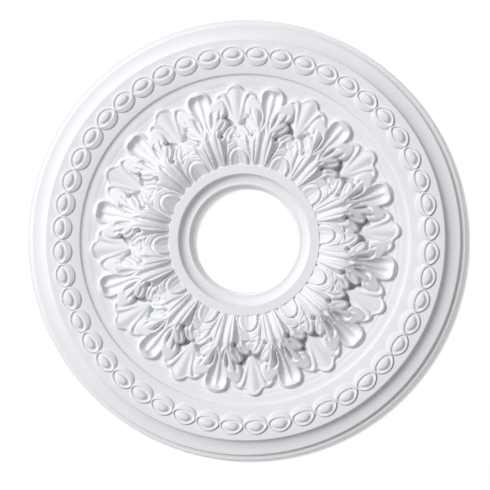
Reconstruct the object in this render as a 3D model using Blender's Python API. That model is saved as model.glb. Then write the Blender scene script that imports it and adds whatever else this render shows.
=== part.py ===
"""A ceiling rose: one round casting with a turned edge, a chain of ovals and a wreath of leaves."""

import math

import bmesh
import bpy

# Sizes of the turned body, in metres. Heights are measured up from the flat back.
OUTER_RADIUS = 0.2030
EDGE_HEIGHT = 0.0030
EDGE_BEAD = 0.0016
EDGE_BEAD_WIDTH = 0.0030
STEP_WIDTH = 0.0027
STEP_HEIGHT = 0.0032
COVE_WIDTH = 0.0136
ARRIS_HEIGHT = 0.0150
BAND_WIDTH = 0.0283
BAND_FALL = 0.0020
LEDGE_DROP = 0.0012
LEDGE_WIDTH = 0.0012
DISH_WIDTH = 0.0080
DISH_DROP = 0.0032
FIELD_STEP_WIDTH = 0.0036
FIELD_HEIGHT = 0.0072

# Sizes of the collar and the hole through it.
HOLE_RADIUS = 0.0478
LIP_HEIGHT = 0.0034
THROAT_WIDTH = 0.0032
SEAT_WIDTH = 0.0022
SEAT_HEIGHT = 0.0084
COLLAR_COVE_WIDTH = 0.0090
COLLAR_WIDTH = 0.0073
COLLAR_HEIGHT = 0.0145

# The chain of ovals along the band.
OVALS_PER_LEAF = 4
OVAL_FOOT_DEPTH = 0.0190
OVAL_RIM_DEPTH = 0.0142
OVAL_GAP = 0.0006
OVAL_RISE = 0.0024
OVAL_LEAN = 0.0018
OVAL_RIM = 0.0016
OVAL_DISH = 0.0014
OVAL_BOSS_RISE = 0.0030
OVAL_BAND_INSET = 0.0237

# The wreath: leaves stand between the collar and the dish.
LEAF_COUNT = 12
PROJECTION = 0.0254
BACK_LEAF_RISE = 0.0050
LEAF_ROOT_DEPTH = 0.0020
LEAF_HALF_WIDTH = 0.0270

# How finely round forms are faceted.
COVE_FACETS = 3
OVAL_FACETS = 8

# Places that follow from the sizes above.
TURNED_FACETS = LEAF_COUNT * OVALS_PER_LEAF
ARRIS_RADIUS = OUTER_RADIUS - EDGE_BEAD_WIDTH - STEP_WIDTH - COVE_WIDTH
BAND_INNER_RADIUS = ARRIS_RADIUS - BAND_WIDTH
BAND_INNER_HEIGHT = ARRIS_HEIGHT - BAND_FALL
DISH_RADIUS = BAND_INNER_RADIUS - 2 * LEDGE_WIDTH
DISH_INNER_RADIUS = DISH_RADIUS - DISH_WIDTH
DISH_INNER_HEIGHT = BAND_INNER_HEIGHT - LEDGE_DROP - DISH_DROP
FIELD_RADIUS = DISH_INNER_RADIUS - FIELD_STEP_WIDTH
COLLAR_INNER_RADIUS = HOLE_RADIUS + THROAT_WIDTH + SEAT_WIDTH + COLLAR_COVE_WIDTH
COLLAR_RADIUS = COLLAR_INNER_RADIUS + COLLAR_WIDTH
OVAL_CENTRE_RADIUS = OUTER_RADIUS - OVAL_BAND_INSET - OVAL_FOOT_DEPTH / 2
OVAL_WIDTH = 2 * OVAL_CENTRE_RADIUS * math.tan(math.pi / (LEAF_COUNT * OVALS_PER_LEAF)) - OVAL_GAP
LEAF_LENGTH = DISH_INNER_RADIUS - COLLAR_RADIUS
LEAF_RISE = PROJECTION - FIELD_HEIGHT

# Rows of the tall leaf, from the collar to its curled tip. A row gives its share of the leaf's
# length and the midrib's share of the rise, then the place across the half width and the rise of
# the stem's crest, the valley beside it, the branch's crest and the edge. Past the upper lobes
# the stem's crest is the rim of the curled tip, and the last three marks are sunk in the body.
LEAF_ROWS = (
    (-0.02, 0.28, (0.11, 0.36), (0.24, 0.26), (0.31, 0.36), (0.39, 0.20)),
    (0.12, 0.60, (0.13, 0.78), (0.26, 0.46), (0.38, 0.60), (0.50, 0.36)),
    (0.25, 0.74, (0.15, 0.96), (0.30, 0.58), (0.57, 0.60), (0.82, 0.28)),
    (0.32, 0.77, (0.16, 1.00), (0.31, 0.62), (0.55, 0.56), (0.70, 0.36)),
    (0.45, 0.69, (0.15, 0.86), (0.30, 0.58), (0.61, 0.64), (0.90, 0.32)),
    (0.50, 0.62, (0.13, 0.76), (0.26, 0.50), (0.52, 0.66), (0.70, 0.42)),
    (0.57, 0.50, (0.11, 0.60), (0.25, 0.34), (0.46, 0.54), (0.65, 0.36)),
    (0.64, 0.26, (0.14, 0.40), (0.27, 0.26), (0.50, 0.46), (0.78, 0.30)),
    (0.72, 0.14, (0.26, 0.31), (0.37, 0.20), (0.56, 0.38), (0.84, 0.24)),
    (0.79, 0.10, (0.31, 0.27), (0.41, 0.15), (0.54, 0.30), (0.70, 0.18)),
    (0.83, 0.10, (0.31, 0.27), (0.40, -0.08), (0.41, -0.08), (0.42, -0.08)),
    (0.92, 0.26, (0.29, 0.33), (0.37, -0.08), (0.38, -0.08), (0.39, -0.08)),
    (0.97, 0.34, (0.17, 0.34), (0.22, -0.08), (0.23, -0.08), (0.24, -0.08)),
    (0.99, 0.22, (0.10, 0.20), (0.13, -0.08), (0.14, -0.08), (0.15, -0.08)),
)

# Rows of the low leaf: the share of the length, the midrib's rise, and the edge's place and rise.
BACK_ROWS = (
    (-0.02, 0.50, (0.30, 0.40)),
    (0.62, 1.00, (0.42, 0.60)),
    (0.74, 1.00, (0.80, 0.55)),
    (0.85, 0.95, (0.60, 0.60)),
    (0.90, 0.95, (0.24, 0.60)),
    (0.985, 0.85, (0.10, 0.60)),
)


def remove_all_objects():
    """Start from an empty scene."""
    for item in list(bpy.data.objects):
        bpy.data.objects.remove(item, do_unlink=True)


def cove(start, end, steps):
    """Points of a hollow quarter curve from a low flat start to a steep end."""
    points = []
    for i in range(1, steps):
        turn = 0.5 * math.pi * i / steps
        radius = start[0] + (end[0] - start[0]) * math.sin(turn)
        height = start[1] + (end[1] - start[1]) * (1 - math.cos(turn))
        points.append((radius, height))
    return points


def body_profile():
    """Radius and height of the turned body, from the hole's back edge round to its front edge."""
    step_radius = OUTER_RADIUS - EDGE_BEAD_WIDTH
    bead_top = EDGE_HEIGHT + EDGE_BEAD
    cove_low = (step_radius - STEP_WIDTH, bead_top + STEP_HEIGHT)
    arris = (ARRIS_RADIUS, ARRIS_HEIGHT)
    ledge_height = BAND_INNER_HEIGHT - LEDGE_DROP
    collar_inner = (COLLAR_INNER_RADIUS, COLLAR_HEIGHT)
    seat_outer = (HOLE_RADIUS + THROAT_WIDTH + SEAT_WIDTH, SEAT_HEIGHT)
    profile = [(HOLE_RADIUS, 0), (OUTER_RADIUS, 0), (OUTER_RADIUS, EDGE_HEIGHT)]
    profile += [(OUTER_RADIUS - EDGE_BEAD_WIDTH / 3, bead_top), (step_radius, bead_top), cove_low]
    profile += cove(cove_low, arris, COVE_FACETS) + [arris]
    profile += [(BAND_INNER_RADIUS, BAND_INNER_HEIGHT), (BAND_INNER_RADIUS - LEDGE_WIDTH, ledge_height)]
    profile += [(DISH_RADIUS, ledge_height), (DISH_INNER_RADIUS, DISH_INNER_HEIGHT)]
    profile += [(FIELD_RADIUS, FIELD_HEIGHT), (COLLAR_RADIUS, FIELD_HEIGHT)]
    profile += [(COLLAR_RADIUS, COLLAR_HEIGHT), collar_inner]
    profile += cove(seat_outer, collar_inner, COVE_FACETS)[::-1] + [seat_outer]
    profile += [(HOLE_RADIUS + THROAT_WIDTH, SEAT_HEIGHT), (HOLE_RADIUS, LIP_HEIGHT)]
    return profile


def new_object(name, mesh):
    """Link an object for the mesh, shaded smooth between its sharp edges."""
    mesh.shade_smooth()
    mesh.set_sharp_from_angle(angle=math.radians(30))
    item = bpy.data.objects.new(name, mesh)
    bpy.context.collection.objects.link(item)
    return item


def finished_mesh(name, shape):
    """Turn a bmesh of closed forms into a mesh whose faces all point out."""
    bmesh.ops.recalc_face_normals(shape, faces=shape.faces)
    mesh = bpy.data.meshes.new(name)
    shape.to_mesh(mesh)
    shape.free()
    return mesh


def turned_body(name):
    """The round body: the profile turned once about the upright axis.

    Each flat facet touches the true circle at its middle, under the middle of an oval.
    """
    shape = bmesh.new()
    half_facet = math.pi / TURNED_FACETS
    rings = []
    for radius, height in body_profile():
        corner = radius / math.cos(half_facet)
        ring = []
        for i in range(TURNED_FACETS):
            angle = (2 * i + 1) * half_facet
            ring.append(shape.verts.new((corner * math.cos(angle), corner * math.sin(angle), height)))
        rings.append(ring)
    for low, high in zip(rings, rings[1:] + rings[:1]):
        join_loops(shape, low, high)
    return new_object(name, finished_mesh(name, shape))


def join_loops(shape, first, second):
    """Quads between two loops of the same length."""
    for i, corner in enumerate(first):
        j = (i + 1) % len(first)
        shape.faces.new((corner, first[j], second[j], second[i]))


def turned_to(angle, across, out, height):
    """A point that lies `out` from the axis and `across` from the ray at this angle."""
    x = out * math.cos(angle) + across * math.sin(angle)
    y = out * math.sin(angle) - across * math.cos(angle)
    return x, y, height


def band_height(radius):
    """Height of the sloping band at a radius."""
    return ARRIS_HEIGHT - BAND_FALL * (ARRIS_RADIUS - radius) / BAND_WIDTH


def oval_ring(shape, angle, width, depth, lean, height):
    """One loop of an oval, pointed where it meets its neighbours."""
    ring = []
    for i in range(OVAL_FACETS):
        turn = 2 * math.pi * i / OVAL_FACETS
        out = OVAL_CENTRE_RADIUS + lean + depth / 2 * math.cos(turn)
        ring.append(shape.verts.new(turned_to(angle, width / 2 * math.sin(turn), out, height)))
    return ring


def add_oval(shape, angle):
    """An oval boss: sides drafted towards the hole, a raised rim, a dish and a button in it."""
    ground = band_height(OVAL_CENTRE_RADIUS)
    top = ground + OVAL_RISE
    dish_bottom = top - OVAL_DISH
    dish_width = OVAL_WIDTH - 4 * OVAL_RIM
    dish_depth = OVAL_RIM_DEPTH - 2 * OVAL_RIM
    foot = oval_ring(shape, angle, OVAL_WIDTH, OVAL_FOOT_DEPTH, 0, ground - OVAL_DISH)
    rim = oval_ring(shape, angle, OVAL_WIDTH, OVAL_RIM_DEPTH, OVAL_LEAN, top)
    dish = oval_ring(shape, angle, dish_width, dish_depth, OVAL_LEAN, dish_bottom)
    join_loops(shape, foot, rim)
    join_loops(shape, rim, dish)
    button = shape.verts.new(turned_to(angle, 0, OVAL_CENTRE_RADIUS + OVAL_LEAN, dish_bottom + OVAL_BOSS_RISE))
    for i, corner in enumerate(dish):
        shape.faces.new((corner, dish[(i + 1) % len(dish)], button))
    shape.faces.new(foot[::-1])


def oval_chain(name):
    """All the ovals, one of them centred on each leaf."""
    shape = bmesh.new()
    count = LEAF_COUNT * OVALS_PER_LEAF
    for i in range(count):
        add_oval(shape, 2 * math.pi * i / count)
    return new_object(name, finished_mesh(name, shape))


def leaf_point(angle, across, along, rise, full_rise=LEAF_RISE):
    """A point of a leaf from shares of its half width, its length and its rise."""
    out = COLLAR_RADIUS + along * LEAF_LENGTH
    return turned_to(angle, across * LEAF_HALF_WIDTH, out, FIELD_HEIGHT + rise * full_rise)


def foot_point(angle, across, along):
    """A point of a leaf's underside, sunk in the body so that the two are one solid."""
    x, y, _ = leaf_point(angle, across, along, 0)
    return x, y, FIELD_HEIGHT - LEAF_ROOT_DEPTH


def add_sheet(shape, angle, rows, full_rise):
    """A closed sheet of the leaf, lofted through its rows and the same on both sides."""
    loops = []
    for along, rib_rise, *marks in rows:
        edge = marks[-1][0]
        loop = [foot_point(angle, -edge, along)]
        loop += [leaf_point(angle, -across, along, rise, full_rise) for across, rise in marks[::-1]]
        loop.append(leaf_point(angle, 0, along, rib_rise, full_rise))
        loop += [leaf_point(angle, across, along, rise, full_rise) for across, rise in marks]
        loop.append(foot_point(angle, edge, along))
        loops.append([shape.verts.new(point) for point in loop])
    for first, second in zip(loops, loops[1:]):
        join_loops(shape, first, second)
    shape.faces.new(loops[0][::-1])
    shape.faces.new(loops[-1])


def tall_leaves(name):
    """The tall leaves: the lobed outline, the stem and branches, and the curled tip."""
    shape = bmesh.new()
    for i in range(LEAF_COUNT):
        add_sheet(shape, 2 * math.pi * i / LEAF_COUNT, LEAF_ROWS, LEAF_RISE)
    return new_object(name, finished_mesh(name, shape))


def low_leaves(name):
    """The low leaves that show between the tall ones."""
    shape = bmesh.new()
    for i in range(LEAF_COUNT):
        add_sheet(shape, 2 * math.pi * (i + 0.5) / LEAF_COUNT, BACK_ROWS, BACK_LEAF_RISE)
    return new_object(name, finished_mesh(name, shape))


def unite(body, part):
    """Join a part's forms to the body as one solid."""
    part.hide_render = True
    part.display_type = "WIRE"
    joint = body.modifiers.new("Join " + part.name, "BOOLEAN")
    joint.operation = "UNION"
    joint.solver = "EXACT"
    joint.use_self = True
    joint.object = part


def cast_white():
    """The white coat that the casting leaves the mould with."""
    material = bpy.data.materials.new("cast_white")
    material.use_nodes = True
    shader = material.node_tree.nodes["Principled BSDF"]
    shader.inputs["Base Color"].default_value = (0.86, 0.86, 0.85, 1)
    shader.inputs["Roughness"].default_value = 0.62
    shader.inputs["Metallic"].default_value = 0.0
    return material


remove_all_objects()
rose = turned_body("ceiling_rose")
rose.data.materials.append(cast_white())
unite(rose, oval_chain("oval_forms"))
unite(rose, low_leaves("low_leaf_forms"))
unite(rose, tall_leaves("tall_leaf_forms"))
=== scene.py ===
import bpy
import bmesh
import math
import numpy as np
from mathutils import Matrix, Vector


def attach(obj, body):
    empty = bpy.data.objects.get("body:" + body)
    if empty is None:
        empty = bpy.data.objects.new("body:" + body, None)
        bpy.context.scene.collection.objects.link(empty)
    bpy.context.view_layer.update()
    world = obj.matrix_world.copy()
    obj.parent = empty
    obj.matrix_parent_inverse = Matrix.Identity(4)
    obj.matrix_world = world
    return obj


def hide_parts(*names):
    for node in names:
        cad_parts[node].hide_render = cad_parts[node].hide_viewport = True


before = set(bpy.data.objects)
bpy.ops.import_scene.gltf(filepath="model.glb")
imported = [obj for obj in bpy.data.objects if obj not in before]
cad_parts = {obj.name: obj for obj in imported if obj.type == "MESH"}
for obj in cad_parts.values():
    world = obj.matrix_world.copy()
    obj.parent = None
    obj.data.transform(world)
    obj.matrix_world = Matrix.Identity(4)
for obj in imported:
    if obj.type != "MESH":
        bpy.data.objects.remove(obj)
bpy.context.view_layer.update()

# Turned ground
# The round body of the rose: stepped and coved edge, flat band under the ovals, sunk field under the
# leaves, collar and hole. It is part of the one casting in rigid white foam, with crisp arrises that the
# paint softens a little.

MM = 0.001
TURNED_STEPS = 288


def hollow_rows(r0, z0, r1, z1, count=9):
    """A quarter-round hollow: it starts upright at the first corner and ends level at the second."""
    turns = [math.pi / 2 * i / count for i in range(1, count + 1)]
    return [(r1 + (r0 - r1) * math.cos(t), z0 + (z1 - z0) * math.sin(t)) for t in turns]


# radius and height over the back, in millimetres, from the foot of the hole's wall out to the edge
hole_wall = [(47.8, 0.0), (47.8, 3.2), (48.0, 3.6), (48.779, 4.624), (49.472, 5.698), (50.079, 6.824),
             (50.6, 8.0)]
seat = [(50.9, 8.3), (51.3, 8.4), (52.2, 8.4)]
collar_hollow = hollow_rows(60.5, 14.2, 52.6, 8.2)[::-1]
collar_top = [(60.7, 14.2), (61.0, 14.5), (61.3, 14.5), (69.2, 14.5), (69.5, 14.2)]
sunk_field = [(69.5, 2.0), (139.6, 2.0), (139.6, 7.7), (141.8, 8.3), (143.0, 8.6), (144.2, 8.95),
              (145.4, 9.25)]
ledge = [(147.4, 9.4), (148.9, 9.55), (150.1, 9.8), (151.2, 10.2), (151.6, 10.6), (152.4, 12.1),
         (152.9, 12.45), (153.4, 12.55), (154.6, 12.7), (156.5, 13.1)]
band = [(165.0, 13.75), (182.6, 15.0), (183.3, 15.0), (183.7, 14.7)]
edge_cove = hollow_rows(183.7, 14.7, 196.4, 8.2, 12)
rounded_edge = [(197.2, 8.1), (197.6, 7.7), (198.3, 5.7), (199.1, 5.1), (200.6, 4.7), (202.0, 4.6),
                (202.7, 4.2), (203.0, 3.4), (203.0, 0.0)]
profile = (hole_wall + seat + collar_hollow + collar_top + sunk_field
           + ledge + band + edge_cove + rounded_edge)

bpy.ops.object.select_all(action="DESELECT")
bpy.ops.mesh.primitive_plane_add(size=MM, location=(0, 0, 0))
ground = bpy.context.object
ground.name = "turned_ground"
bpy.ops.object.mode_set(mode="EDIT")
bpy.ops.mesh.select_all(action="SELECT")
bpy.ops.mesh.merge(type="CENTER")
# the one point left is drawn along the profile, which is then spun about the hole's axis
start_radius, start_height = profile[0]
bpy.ops.transform.translate(value=(start_radius * MM, 0, start_height * MM))
for (r0, z0), (r1, z1) in zip(profile, profile[1:]):
    bpy.ops.mesh.extrude_region_move(TRANSFORM_OT_translate={"value": ((r1 - r0) * MM, 0, (z1 - z0) * MM)})
bpy.ops.mesh.select_all(action="SELECT")
bpy.ops.mesh.spin(steps=TURNED_STEPS, angle=math.tau, center=(0, 0, 0), axis=(0, 0, 1))
bpy.ops.mesh.select_all(action="SELECT")
bpy.ops.mesh.remove_doubles(threshold=0.02 * MM)
# the flat back closes the hole's foot to the outer edge
bpy.ops.mesh.select_all(action="DESELECT")
bpy.ops.mesh.select_non_manifold()
bpy.ops.mesh.bridge_edge_loops()
bpy.ops.mesh.select_all(action="SELECT")
bpy.ops.mesh.normals_make_consistent(inside=False)
bpy.ops.object.mode_set(mode="OBJECT")
bpy.ops.object.shade_smooth_by_angle(angle=math.radians(22))

paint = bpy.data.materials.new("matt_white_primer")
paint.use_nodes = True
nodes = paint.node_tree.nodes
links = paint.node_tree.links
shader = nodes["Principled BSDF"]
shader.inputs["Specular IOR Level"].default_value = 0.35
place = nodes.new("ShaderNodeTexCoord")

# a faint cloud in the white, a few centimetres across
cloud = nodes.new("ShaderNodeTexNoise")
cloud.inputs["Scale"].default_value = 22.0
cloud.inputs["Detail"].default_value = 4.0
tone = nodes.new("ShaderNodeValToRGB")
thin_coat, full_coat = tone.color_ramp.elements
thin_coat.position = 0.3
thin_coat.color = (0.838, 0.845, 0.870, 1)
full_coat.position = 0.7
full_coat.color = (0.862, 0.869, 0.893, 1)
links.new(place.outputs["Object"], cloud.inputs["Vector"])
links.new(cloud.outputs["Fac"], tone.inputs["Fac"])
links.new(tone.outputs["Color"], shader.inputs["Base Color"])

# the sprayed coat's grain, about a millimetre across, varies the sheen and lifts the surface a little
spray = nodes.new("ShaderNodeTexNoise")
spray.inputs["Scale"].default_value = 900.0
spray.inputs["Detail"].default_value = 3.0
links.new(place.outputs["Object"], spray.inputs["Vector"])
sheen_range = nodes.new("ShaderNodeMapRange")
sheen_range.inputs["To Min"].default_value = 0.56
sheen_range.inputs["To Max"].default_value = 0.72
links.new(spray.outputs["Fac"], sheen_range.inputs["Value"])
links.new(sheen_range.outputs["Result"], shader.inputs["Roughness"])
grain = nodes.new("ShaderNodeBump")
grain.inputs["Strength"].default_value = 0.35
grain.inputs["Distance"].default_value = 0.12 * MM
links.new(spray.outputs["Fac"], grain.inputs["Height"])
links.new(grain.outputs["Normal"], shader.inputs["Normal"])

ground.data.materials.append(paint)
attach(ground, "root")
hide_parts("ceiling_rose")

# Chain of ovals
# Forty-eight boat-shaped rings stand on the flat band, each round a low domed boss, moulded in
# one with the body. Their pointed ends touch, and their side towards the hole is a drafted wall.

OVALS = 48
OVAL_POINTS = 40
OVAL_RADIUS = 171.4
OVAL_HALF_LENGTH = 11.05
END_PINCH = 0.16
END_BEND = 1.4
# half width along the chain, nearest and farthest reach across it, height above the back
oval_loops = [
    (11.1, -11.8, 7.2, 13.1), (11.12, -11.5, 7.2, 14.4), (11.1, -10.7, 7.15, 15.0),
    (11.05, -8.7, 7.05, 15.6), (11.0, -7.4, 6.9, 16.1), (10.5, -6.7, 6.4, 16.4),
    (9.9, -6.2, 5.6, 16.2), (9.5, -5.9, 5.1, 15.0), (8.8, -5.5, 4.6, 14.5), (7.6, -4.8, 4.1, 14.8),
    (6.7, -4.3, 3.7, 15.5), (5.8, -3.8, 3.2, 16.6), (5.1, -3.4, 2.8, 17.3), (4.4, -3.0, 2.4, 17.65),
    (2.6, -1.9, 1.5, 17.9), (1.2, -1.0, 0.7, 18.0),
]
bpy.ops.object.select_all(action="DESELECT")
bpy.ops.mesh.primitive_circle_add(vertices=OVAL_POINTS, radius=1.0, fill_type="NOTHING", location=(0, 0, 0))
first_oval = bpy.context.object
first_oval.name = "oval_00"
bpy.ops.object.mode_set(mode="EDIT")
bpy.ops.mesh.select_all(action="SELECT")


def reshape(half_width, low, high, height, old):
    """Resizes and moves the selected loop from its old sizes to the new ones."""
    old_width, old_low, old_high, old_height = old
    bpy.ops.transform.resize(value=(half_width / old_width, (high - low) / (old_high - old_low), 1),
                             center_override=(0, (old_low + old_high) / 2 * MM, old_height * MM))
    bpy.ops.transform.translate(value=(0, (low + high - old_low - old_high) / 2 * MM,
                                       (height - old_height) * MM))


bpy.ops.transform.resize(value=(MM, MM, MM), center_override=(0, 0, 0))
old_loop = (1.0, -1.0, 1.0, 0.0)
for number, loop in enumerate(oval_loops):
    if number:
        bpy.ops.mesh.extrude_edges_move(TRANSFORM_OT_translate={"value": (0, 0, 0)})
    reshape(*loop, old_loop)
    old_loop = loop
# the boss is closed at its top and the ring at its foot
bpy.ops.mesh.edge_face_add()
bpy.ops.mesh.select_all(action="DESELECT")
bpy.ops.mesh.select_non_manifold()
bpy.ops.mesh.edge_face_add()
bpy.ops.mesh.select_all(action="SELECT")
bpy.ops.mesh.normals_make_consistent(inside=False)
bpy.ops.object.mode_set(mode="OBJECT")
# the round loops are drawn out to points where the rings touch
for vert in first_oval.data.vertices:
    end = abs(vert.co.x) / (OVAL_HALF_LENGTH * MM)
    vert.co.y *= 1 - END_PINCH * end ** 3
    vert.co.y -= END_BEND * MM * end ** 2
    vert.co.y += OVAL_RADIUS * MM
bpy.ops.object.shade_smooth_by_angle(angle=math.radians(50))
first_oval.data.materials.append(paint)
for number in range(OVALS):
    oval = first_oval
    if number:
        oval = first_oval.copy()
        oval.data = first_oval.data.copy()
        oval.name = f"oval_{number:02d}"
        bpy.context.collection.objects.link(oval)
        oval.data.transform(Matrix.Rotation(math.tau * number / OVALS, 4, "Z"))
    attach(oval, "root")
    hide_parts("ceiling_rose")

# Leaf wreath
# Twelve tall acanthus leaves with curled tips, and the tips of twelve low leaves between them, carved in
# the pattern the casting was made from. Carving flows in every direction, so each leaf is one surface whose
# height is worked out from its ribs, lobes and gouge cuts, a shape that the modelling operators can't give.

LEAVES = 12
HALF_SECTOR = math.pi / LEAVES
# heights over the back, in millimetres, of the field and of the deepest cuts
FIELD = 7.3
LOWEST_CUT = 3.0


def curve_through(rows, per_step=6, closed=False):
    """A smooth curve through rows of x, y and any further numbers, which are eased alike."""
    p = np.array(rows, dtype=float)
    if closed:
        p = np.vstack([p[-1], p, p[0], p[1]])
    else:
        p = np.vstack([2 * p[0] - p[1], p, 2 * p[-1] - p[-2]])
    out = []
    for i in range(1, len(p) - 2):
        for t in np.linspace(0, 1, per_step, endpoint=False):
            out.append(0.5 * (2 * p[i] + (p[i + 1] - p[i - 1]) * t
                              + (2 * p[i - 1] - 5 * p[i] + 4 * p[i + 1] - p[i + 2]) * t * t
                              + (3 * p[i] - p[i - 1] - 3 * p[i + 1] + p[i + 2]) * t ** 3))
    out.append(p[-2])
    return np.array(out)


def nearest(x, y, line):
    """Distance to a line, and the line's further numbers at its nearest point."""
    best = np.full(x.shape, np.inf)
    extra = np.zeros(x.shape + (line.shape[1] - 2,))
    for a, b in zip(line[:-1], line[1:]):
        d = b[:2] - a[:2]
        t = np.clip(((x - a[0]) * d[0] + (y - a[1]) * d[1]) / (d @ d), 0, 1)
        dist = np.hypot(x - a[0] - t * d[0], y - a[1] - t * d[1])
        closer = dist < best
        best = np.where(closer, dist, best)
        extra = np.where(closer[..., None], a[2:] + t[..., None] * (b[2:] - a[2:]), extra)
    return best, extra


def inside(x, y, outline):
    """Depth inside a smooth closed outline, negative outside."""
    loop = curve_through(outline, closed=True)
    dist, _ = nearest(x, y, loop)
    within = np.zeros(x.shape, dtype=bool)
    for a, b in zip(loop[:-1], loop[1:]):
        if a[1] != b[1]:
            left_of = x < a[0] + (y - a[1]) * (b[0] - a[0]) / (b[1] - a[1])
            within ^= ((a[1] > y) != (b[1] > y)) & left_of
    return np.where(within, dist, -dist)


def ease(v, width):
    """Rises smoothly from 0 to 1 while v goes from 0 to the width."""
    t = np.clip(v / width, 0, 1)
    return t * t * (3 - 2 * t)


def smooth_max(a, b, blend):
    """The upper of two surfaces, with a small fillet where they cross."""
    h = np.clip(0.5 + 0.5 * (a - b) / blend, 0, 1)
    return b + (a - b) * h + blend * h * (1 - h)


def rib(x, y, rows, flank=3.0, power=2.0):
    """A rounded rib through rows of x, y, half width and crest, `flank` lower at the half width."""
    dist, extra = nearest(x, y, curve_through(rows))
    return extra[..., 1] - flank * (dist / extra[..., 0]) ** power


def cut(x, y, rows):
    """Depth of a gouge cut through rows of x, y, half width and depth."""
    dist, extra = nearest(x, y, curve_through(rows))
    return extra[..., 1] * np.exp(-(dist / extra[..., 0]) ** 2)


def lobe(x, y, outline, top, drop, width, rim=0.0, hollow=0.0):
    """A rounded lobe, `top` high, falling by `drop` over the last `width`, and hollow inside its rim."""
    depth = inside(x, y, outline)
    turn = 1 - np.clip(depth / width, 0, 1)
    surface = top - drop * (1 - np.sqrt(1 - turn ** 2)) - hollow * ease(depth - rim, 1.5)
    return np.where(depth > 0, surface, 0.0)


def low_leaf(x, y, xb, yb):
    """The field, and on it the tip of a low leaf: a midrib and two side lobes with raised rims."""
    z = FIELD + 1.0 * ease(np.hypot(x, y) - 136, 6.0)
    # the ground between the lobes of neighbouring leaves is cut deeper than the field outside them
    z = z - 3.6 * ease(118 - yb, 8.0) * ease(yb - 84, 4.0)
    outline = [(-6, 96), (-6, 143.0), (0, 144.0), (3.4, 143.2), (6.0, 141.0), (7.8, 138.2), (9.0, 136.8),
               (11.0, 137.0), (14.2, 136.2), (17.6, 133.6), (20.4, 129.0), (21.0, 123), (16, 116),
               (9, 112), (3.4, 107), (2.2, 100)]
    side_rim = [(1.6, 108, 1.8, 10.0), (3.6, 114.0, 2.0, 10.6), (6.2, 121.8, 2.1, 11.2),
                (8.4, 128.6, 2.0, 11.6), (10.8, 133.2, 1.9, 11.8), (13.6, 134.6, 1.8, 11.6),
                (16.8, 132.4, 1.7, 11.2), (19.4, 127.6, 1.6, 10.6), (19.6, 122, 1.6, 10.0)]
    end_rim = [(9.0, 136.0, 1.6, 11.0), (7.4, 138.2, 1.6, 11.6), (4.6, 140.6, 1.9, 12.4),
               (0, 141.8, 2.0, 12.8), (-4, 140.6, 1.9, 12.4)]
    midrib = [(0, 94, 1.8, 10.5), (0, 104, 2.0, 10.4), (0, 112, 2.6, 10.0)]
    plate = 8.8 + 2.2 * np.exp(-(xb / 5.0) ** 2) + 0.02 * (yb - 120)
    plate = smooth_max(plate, rib(xb, yb, side_rim, 1.8), 1.2)
    plate = smooth_max(plate, rib(xb, yb, end_rim, 2.0), 1.2)
    z = z + (plate - z) * ease(inside(xb, yb, outline) + 0.2, 1.3)
    return np.maximum(z, rib(xb, yb, midrib, 2.6))


def sheet_between(z, xb, yb):
    """The sheet where two tall leaves' lower lobes meet in a valley, with gouge cuts fanning out."""
    valley = np.interp(yb, [66, 72, 78, 84, 90, 96, 102, 108],
                       [9.5, 12.2, 15.4, 17.4, 17.8, 16.8, 15.0, 13.2])
    outline = [(-6, 60), (-6, 101.8), (0.2, 102.0), (1.0, 104.0), (2.8, 105.4), (5.2, 105.5),
               (7.6, 104.2), (9.7, 101.6), (10.9, 98.2), (10.8, 95.4), (9.8, 92.4), (9.4, 88.6),
               (9.9, 83.6), (10.9, 77.6), (11.8, 71), (12, 60)]
    z = np.maximum(z, lobe(xb, yb, outline, valley + 0.34 * xb, 2.0, 1.4))
    for gouge in (
        [(1.2, 92.9, 0.7, 0.8), (2.4, 93.8, 0.9, 2.6), (4.2, 93.5, 0.9, 2.4), (5.8, 92.4, 0.7, 1.0)],
        [(5.4, 94.4, 0.8, 1.0), (4.2, 95.8, 1.1, 1.5), (2.8, 97.6, 0.9, 0.9), (1.8, 99.4, 0.6, 0.3)],
        [(8.8, 95.8, 0.8, 0.8), (7.8, 98.0, 1.1, 1.4), (6.0, 100.6, 1.1, 1.3), (4.2, 102.8, 0.8, 0.5)],
        [(9.2, 86.4, 0.8, 1.2), (7.4, 88.6, 1.0, 1.6), (5.2, 90.0, 0.9, 1.3), (3.0, 90.7, 0.7, 0.4)],
        [(9.2, 82.2, 0.7, 0.8), (7.4, 85.0, 0.8, 1.0), (4.8, 87.0, 0.7, 0.8), (2.6, 87.9, 0.6, 0.3)],
        [(0, 84.9, 1.1, 1.6), (2.8, 84.4, 1.1, 1.6), (5.6, 82.4, 1.1, 1.8), (7.8, 79.2, 1.1, 2.0),
         (9.0, 75.4, 1.2, 2.2), (9.2, 71.5, 1.2, 2.4), (9.1, 67, 1.2, 2.4)],
    ):
        z = z - cut(xb, yb, gouge)
    return z


def tongue(z, xb, yb):
    """The tongue at the sheet's foot, which rises from the collar to an arched edge and drops behind it."""
    outline = [(-6, 60), (-6, 83.4), (0, 83.6), (2.6, 83.1), (5.0, 81.4), (6.9, 78.7), (8.0, 75.2),
               (8.1, 71.5), (7.6, 60)]
    rise = np.interp(yb, [66, 69, 77, 84], [11.0, 12.4, 16.4, 19.6]) + 0.36 * xb
    z = np.maximum(z, lobe(xb, yb, outline, rise, 2.2, 1.0))
    return z - cut(xb, yb, [(1.9, 80.6, 0.8, 0.3), (3.5, 77.0, 1.4, 0.5), (4.3, 73.4, 1.5, 0.5),
                            (4.5, 69.0, 1.4, 0.3)])


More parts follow.
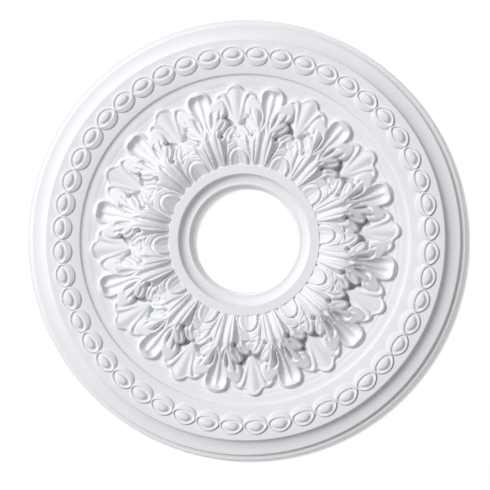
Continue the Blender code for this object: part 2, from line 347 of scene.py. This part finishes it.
def outer_lobe(z, x, y):
    """The tall leaf's big outer lobe, two deep cuts in it and its first finger, which has a pointed end."""
    outline = [(-6, 104), (5.4, 101), (9, 104), (14, 109), (18.2, 112.6), (20.8, 115.4), (22.4, 119),
               (22.9, 123.4), (22.4, 127.4), (20.6, 130.0), (17.8, 130.9), (14.8, 130.0), (11.8, 128.2),
               (9.2, 127.4), (0, 128), (-6, 124)]
    away = np.hypot(x - 4, y - 97)
    crown = 24.6 - 0.43 * away + 0.0075 * np.clip(away - 20, 0, None) ** 2
    z = np.maximum(z, lobe(x, y, outline, crown, 2.2, 2.6))
    z = z - cut(x, y, [(4.6, 100.6, 0.7, 3.0), (5.6, 106, 1.1, 6.5), (6.6, 111.6, 1.3, 8.0),
                       (7.6, 116.2, 1.4, 6.6), (9.0, 118.4, 1.1, 3.2), (11.6, 119.6, 0.7, 1.4)])
    z = z - cut(x, y, [(12.4, 109.0, 0.6, 1.0), (13.8, 112.2, 1.0, 2.6), (15.8, 116.4, 1.1, 2.6),
                       (17.2, 119.2, 0.8, 1.0)])
    finger = rib(x, y, [(5.6, 100.4, 1.7, 23.6), (8.4, 106.0, 2.0, 20.6), (11.0, 111.6, 2.1, 18.2),
                        (13.2, 116.0, 1.9, 16.4), (14.8, 119.4, 1.2, 14.6)], 2.6)
    return smooth_max(z, finger, 0.5)


def neck(z, x, y):
    """The neck that the lobes spring from: a second rib beside the stem, and a plane falling away."""
    outline = [(-6, 60), (7.4, 60), (7.8, 68), (9.6, 74.4), (11.8, 80), (14.2, 85), (16.0, 90),
               (17.0, 94.6), (17.8, 98.6), (19.2, 102.4), (20.0, 105.6), (16, 106.6), (6, 105), (-6, 104)]
    side = np.interp(y, [66, 70, 76, 82, 88, 92, 96, 104], [5.4, 5.6, 6.0, 6.8, 7.6, 8.4, 8.8, 9.6])
    crest = np.interp(y, [66, 70, 76, 82, 88, 92, 96, 100, 106],
                      [12.4, 15.0, 19.0, 22.0, 23.6, 24.0, 23.6, 22.4, 20.0])
    z = np.maximum(z, lobe(x, y, outline, crest - 0.9 * np.clip(x - side, 0, None), 1.6, 0.9))
    second_rib = rib(x, y, [(5.7, 70, 1.3, 15.8), (6.3, 76, 1.4, 19.7), (7.1, 82, 1.6, 22.6),
                            (7.9, 88, 1.7, 24.1), (8.2, 92.4, 1.7, 24.5), (8.1, 95.4, 1.5, 24.1),
                            (8.3, 98.2, 1.4, 23.6), (9.5, 100.6, 1.3, 22.6)], 1.8)
    return smooth_max(z, second_rib, 0.4)


def middle_lobe(z, x, y):
    """The middle lobe: a spoon with a raised rim and a rib up it."""
    outline = [(5.4, 99.0), (7.2, 103.8), (9.6, 107.6), (12.6, 110.2), (16.2, 111.2), (19.2, 110.2),
               (20.2, 107.4), (18.6, 103.9), (16.0, 101.4), (13.4, 99.6), (10.6, 99.0), (8.6, 98.4)]
    spoon = lobe(x, y, outline, 22.8 - 0.42 * (x - 6) - 0.10 * (y - 100), 2.8, 1.9, 1.0, 1.2)
    up_it = rib(x, y, [(7.4, 101.6, 1.9, 22.6), (11.0, 105.0, 2.0, 20.6), (14.4, 107.8, 1.7, 18.8),
                       (16.8, 109.4, 1.1, 17.2)], 1.8)
    return np.maximum(z, np.where(spoon > 0, smooth_max(spoon, up_it, 0.4), 0))


def gouge_cuts(z, x, y):
    """The drilled eye under the middle lobe, and the deep cuts along the stem and between the lobes."""
    for gouge in (
        [(10.2, 93.8, 1.2, 3.0), (10.7, 95.5, 1.9, 10.0), (11.0, 97.0, 1.6, 7.0), (12.6, 98.3, 1.1, 4.5),
         (14.6, 99.5, 0.9, 3.4), (17.0, 101.5, 0.8, 3.0), (19.4, 104.0, 0.8, 3.4),
         (21.2, 107.4, 1.0, 4.6)],
        [(5.8, 67.0, 0.8, 1.2), (6.8, 72, 0.8, 1.6), (9.2, 78.3, 0.9, 2.0), (11.7, 83.8, 0.9, 2.4),
         (13.7, 89.0, 0.9, 2.6), (15.4, 93.7, 0.9, 2.4), (16.2, 95.4, 0.7, 1.2)],
        [(4.7, 72, 0.6, 0.6), (5.1, 78, 0.6, 0.8), (6.0, 86, 0.7, 0.8), (6.4, 92, 0.7, 0.6)],
        [(13.4, 112.6, 0.6, 1.0), (16.6, 113.2, 0.8, 3.0), (20.0, 112.4, 1.0, 3.0)],
    ):
        z = z - cut(x, y, gouge)
    return z


def flute_floor(y):
    """Height of the bottom of the stem's middle groove, which widens into the two flutes of the tip."""
    return np.interp(y, [66, 72, 80, 88, 94, 98, 104, 110, 116, 121, 126, 131, 134],
                     [11.5, 14.0, 18.6, 21.4, 21.0, 19.6, 16.8, 14.0, 11.2, 9.0, 7.2, 6.3, 6.3])


def curled_tip(z, x, y):
    """The spoon of the curled tip, open to the neck: two flutes side by side, cut lower than the field."""
    flutes = inside(x, y, [(-6, 100), (2.4, 102), (3.4, 108), (4.8, 114), (6.8, 120), (8.5, 125.4),
                           (9.4, 130.0), (9.2, 134.4), (7.6, 137.6), (4.6, 138.9), (1.4, 138.6),
                           (0, 138.4), (-1.4, 138.6), (-6, 138.8)])
    tip = inside(x, y, [(-6, 118), (-6, 144.7), (0, 144.7), (3.4, 144.0), (6.6, 141.9), (9.4, 139.0),
                        (11.2, 136.0), (12.0, 132.2), (11.8, 128.8), (10.6, 125.6), (8.5, 120), (4, 114)])
    floor = flute_floor(y)
    crest = np.interp(y, [106, 112, 118, 124, 128, 132, 136, 139],
                      [19.0, 16.6, 14.4, 12.8, 12.2, 12.2, 12.8, 13.4])
    reach = np.clip(-flutes, 0, None) / np.clip(tip - flutes, 0.01, None)
    fall = np.interp(reach, [0, 0.28, 0.44, 0.60, 0.76, 0.9, 1], [1, 0.93, 0.62, 0.56, 0.36, 0.12, 0])
    scoop = floor + (crest - floor) * np.clip(1 - np.clip(flutes, 0, None) / 4.8, 0, 1) ** 1.7
    beyond_neck = y > 121
    z = np.where((tip > 0) & (flutes <= 0) & beyond_neck, np.maximum(z, FIELD + (crest - FIELD) * fall), z)
    z = np.where((flutes > 0) & beyond_neck, scoop, z)
    eased_in = z + (np.minimum(z, scoop) - z) * ease(flutes + 0.3, 1.6)
    return np.where((flutes > 0) & ~beyond_neck, eased_in, z)


def stem(z, x, y):
    """The stem's two ribs, which join into the ridge between the flutes, and a branch to the lobes."""
    pipe = rib(x, y, [(3.0, 66, 2.4, 12.2), (3.2, 70, 2.5, 14.0), (3.3, 75, 2.6, 17.6),
                      (3.5, 82, 2.8, 21.8), (3.9, 89, 3.0, 24.3), (4.2, 94.5, 3.2, 25.2),
                      (4.4, 98, 2.9, 24.8)], 2.8, 2.2)
    fork = rib(x, y, [(4.3, 96, 2.4, 25.0), (2.9, 100, 2.0, 23.6), (1.3, 103.6, 1.8, 21.6),
                      (0.5, 107, 1.9, 19.2), (0, 112, 2.1, 16.2), (0, 118, 2.3, 13.2),
                      (0, 124, 2.5, 10.9), (0, 130, 2.6, 8.9), (0, 134, 2.4, 8.5),
                      (0, 137, 2.0, 9.8)], 2.6, 1.5)
    branch = rib(x, y, [(4.6, 96.6, 2.4, 24.9), (5.2, 99.0, 2.0, 24.1), (5.9, 101.2, 1.7, 23.2)], 3.0)
    ribs = smooth_max(smooth_max(pipe, fork, 0.6), branch, 0.6)
    z = np.where((x < 3.4) & (y < 112), np.minimum(z, np.maximum(flute_floor(y), ribs)), z)
    return smooth_max(z, ribs, 0.6)


def carved_height(x, y):
    """Height over the back, in millimetres, of the half sector beside a tall leaf's axis, the y axis."""
    # the same point, seen from the low leaf's axis
    xb = np.abs(y * math.sin(HALF_SECTOR) - x * math.cos(HALF_SECTOR))
    yb = x * math.sin(HALF_SECTOR) + y * math.cos(HALF_SECTOR)
    z = low_leaf(x, y, xb, yb)
    z = sheet_between(z, xb, yb)
    z = tongue(z, xb, yb)
    z = outer_lobe(z, x, y)
    z = neck(z, x, y)
    z = middle_lobe(z, x, y)
    z = gouge_cuts(z, x, y)
    z = curled_tip(z, x, y)
    z = stem(z, x, y)
    return np.maximum(z, LOWEST_CUT)


RINGS = 198
SPOKES = 82
# the wreath starts inside the collar, stands in the body and stays just under the solid's top
WREATH_FOOT = 1.5
WREATH_TOP = 25.35
COLLAR_EDGE = 69.7
COLLAR_SIDE_TOP = 14.0
radii = np.linspace(68.4, 145.6, RINGS)
angles = np.linspace(0, HALF_SECTOR, SPOKES + 1)
grid_r, grid_a = np.meshgrid(radii, angles, indexing="ij")
height = carved_height(grid_r * np.sin(grid_a), grid_r * np.cos(grid_a))
# the paint softens the carving: each pass evens it out a little, round the ring and then along the leaf
for _ in range(3):
    wide = np.concatenate([height[:, 1:2], height, height[:, -2:-1]], axis=1)
    height = 0.5 * height + 0.25 * (wide[:, :-2] + wide[:, 2:])
    tall = np.concatenate([height[:1], height, height[-1:]], axis=0)
    height = 0.5 * height + 0.25 * (tall[:-2] + tall[2:])
# past the leaves and under the collar the surface dives below the turned ground
edge_rise = np.interp(grid_r, [141.8, 143.0, 144.2, 145.6], [1.0, 1.3, 1.65, 2.0])
height = np.where((grid_r > 142.0) & (height < FIELD + 0.3 + edge_rise), FIELD - 0.6, height)
height = np.where(grid_r < COLLAR_EDGE, np.minimum(height, COLLAR_SIDE_TOP), height)
height = np.minimum(height, WREATH_TOP)

# the half sector and its mirror image make one leaf
full = np.concatenate([height[:, :0:-1], height], axis=1)
full_a = np.concatenate([-angles[:0:-1], angles])
rows, columns = full.shape
points = np.empty((rows, columns, 3))
points[..., 0] = radii[:, None] * np.sin(full_a)[None, :]
points[..., 1] = radii[:, None] * np.cos(full_a)[None, :]
points[..., 2] = full
index = np.arange(rows * columns).reshape(rows, columns)
faces = np.stack([index[:-1, 1:], index[1:, 1:], index[1:, :-1], index[:-1, :-1]], axis=-1).reshape(-1, 4)
leaf_mesh = bpy.data.meshes.new("leaf_00")
leaf_mesh.from_pydata((points.reshape(-1, 3) * MM).tolist(), [], faces.tolist())
shape = bmesh.new()
shape.from_mesh(leaf_mesh)
rim_edges = [edge for edge in shape.edges if edge.is_boundary]
for edge in rim_edges:
    edge.smooth = False
for face in shape.faces:
    face.smooth = True
# a wall goes down from the rim into the body, and a flat face closes its foot
wall = bmesh.ops.extrude_edge_only(shape, edges=rim_edges)["geom"]
for vert in [item for item in wall if isinstance(item, bmesh.types.BMVert)]:
    vert.co.z = WREATH_FOOT * MM
foot_edges = [item for item in wall if isinstance(item, bmesh.types.BMEdge) and item.is_boundary]
bmesh.ops.contextual_create(shape, geom=foot_edges)
bmesh.ops.recalc_face_normals(shape, faces=shape.faces)
shape.to_mesh(leaf_mesh)
shape.free()
leaf_mesh.materials.append(paint)
for number in range(LEAVES):
    leaf = bpy.data.objects.new(f"leaf_{number:02d}", leaf_mesh.copy())
    bpy.context.collection.objects.link(leaf)
    leaf.data.transform(Matrix.Rotation(math.tau * number / LEAVES, 4, "Z"))
    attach(leaf, "root")
    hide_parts("ceiling_rose")

# Floor
# The rose lies face up on a plain white studio floor, which isn't part of it. The floor is a little
# brighter than the light makes it, because the photograph's background is almost pure white.

bpy.ops.object.select_all(action="DESELECT")
bpy.ops.mesh.primitive_plane_add(size=6.0, location=(0, 0, -0.2 * MM))
studio_floor = bpy.context.object
studio_floor.name = "studio_floor"
floor_white = bpy.data.materials.new("floor_white")
floor_white.use_nodes = True
floor_shader = floor_white.node_tree.nodes["Principled BSDF"]
floor_shader.inputs["Base Color"].default_value = (0.94, 0.94, 0.94, 1)
floor_shader.inputs["Roughness"].default_value = 0.9
floor_shader.inputs["Specular IOR Level"].default_value = 0.0
floor_shader.inputs["Emission Color"].default_value = (1, 1, 1, 1)
floor_shader.inputs["Emission Strength"].default_value = 0.24
studio_floor.data.materials.append(floor_white)

# Light
# One large round soft lamp shines from the picture's upper left, half-way up the sky, and a white
# room fills the shadows.

TURN = math.radians(11.4)
LAMP_RISE = math.radians(50)
LAMP_DISTANCE = 5.0
# a tall leaf's axis is turned from the picture's upright, so the picture's own directions are found first
image_right = Vector((math.cos(TURN), math.sin(TURN), 0))
image_up = Vector((-math.sin(TURN), math.cos(TURN), 0))

lamp_data = bpy.data.lights.new("window_light", "AREA")
lamp_data.shape = "DISK"
lamp_data.size = 2.1
lamp_data.energy = 213.0
lamp = bpy.data.objects.new("window_light", lamp_data)
bpy.context.collection.objects.link(lamp)
lamp_side = -0.848 * image_right + 0.530 * image_up
toward = lamp_side * math.cos(LAMP_RISE) + Vector((0, 0, math.sin(LAMP_RISE)))
lamp.location = toward.normalized() * LAMP_DISTANCE
lamp.rotation_mode = "QUATERNION"
lamp.rotation_quaternion = toward.to_track_quat("Z", "Y")

sky = bpy.data.worlds.new("studio_white")
sky.use_nodes = True
sky.node_tree.nodes["Background"].inputs["Color"].default_value = (1, 1, 1, 1)
sky.node_tree.nodes["Background"].inputs["Strength"].default_value = 0.25
bpy.context.scene.world = sky
bpy.context.scene.view_settings.view_transform = "Standard"
bpy.context.scene.view_settings.look = "None"

# Camera
# The photograph was taken from almost straight above, a little to the picture's right of the hole, and
# from about two metres away.

TILT = math.radians(5.3)
CAMERA_DISTANCE = 2.0
PICTURE_WIDTH = 0.452
SENSOR = 36.0
camera_data = bpy.data.cameras.new("camera")
camera_data.sensor_width = SENSOR
camera_data.lens = SENSOR * CAMERA_DISTANCE / PICTURE_WIDTH
camera = bpy.data.objects.new("camera", camera_data)
bpy.context.collection.objects.link(camera)
back = math.sin(TILT) * image_right + Vector((0, 0, math.cos(TILT)))
across = image_up.cross(back)
picture_centre = -0.0046 * image_up - 0.0002 * image_right
turn = Matrix((across, image_up, back)).transposed().to_4x4()
camera.matrix_world = Matrix.Translation(picture_centre + back * CAMERA_DISTANCE) @ turn
bpy.context.scene.camera = camera
